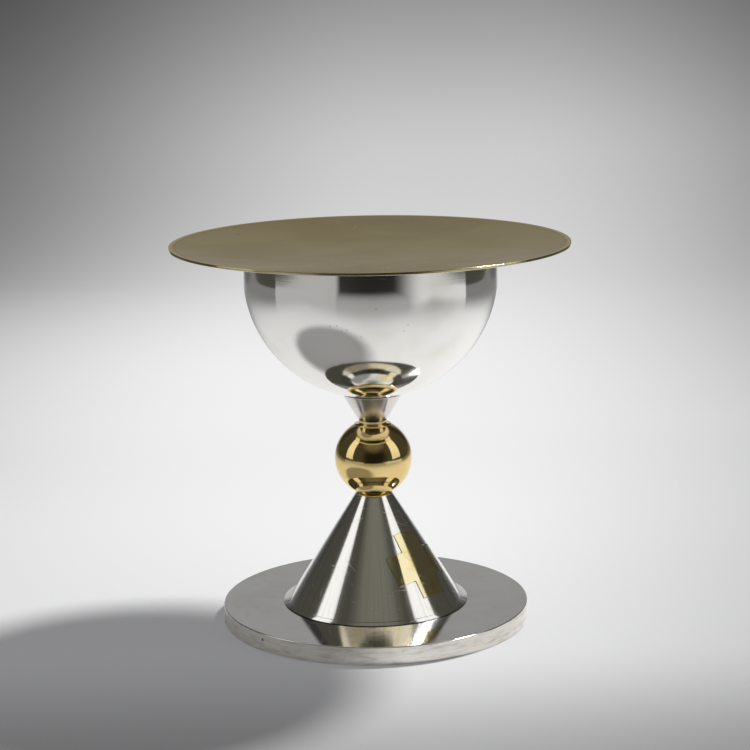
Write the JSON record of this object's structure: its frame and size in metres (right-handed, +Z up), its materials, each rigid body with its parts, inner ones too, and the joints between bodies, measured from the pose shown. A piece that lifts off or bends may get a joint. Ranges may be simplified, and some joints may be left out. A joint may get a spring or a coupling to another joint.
{
  "type": "ciborium vessel",
  "caption": "Hemispherical silver bowl on a stem with a gilt ball and a cone foot on a round plate, covered by a wide shallow gilt dish.",
  "frame": {"origin": "centre of the vessel's underside, on the surface it stands on", "axes": "+Z up along the axis all the pieces are turned about; the vessel faces -Y, with the cross to the right of the front"},
  "size_m": [0.2, 0.2, 0.1944],
  "materials": {
    "silver": "polished silver with fine turned brushing",
    "worn_silver": "satin silver, lightly tarnished at the edge",
    "polished_gilt": "polished gilding",
    "satin_gilt": "satin gilding with light handling marks",
    "brass": "turned, unpolished",
    "steel": "plain machined"
  },
  "bodies": {
    "vessel": {"base_plate": "worn_silver", "recess_cover": "worn_silver", "foot_ring": "worn_silver", "foot_cone": "silver", "cone_plug": "brass", "cross_inlay": "polished_gilt", "knop_washer_lower": "polished_gilt", "knop_ball": "polished_gilt", "knop_core_tube": "brass", "knop_washer_upper": "polished_gilt", "stem_neck": "polished_gilt", "stem_collar": "silver", "bowl_boss": "silver", "bowl_shell": "silver", "tie_rod": "steel", "clamp_washer": "brass", "lock_washer": "steel", "clamp_nut": "steel"},
    "paten": {"paten_dish": "satin_gilt"}
  },
  "joints": [
    {"name": "paten_lift", "type": "slide", "parent": "vessel", "child": "paten", "axis": [0, 0, 1], "range_m": [0, 0.12]}
  ]
}
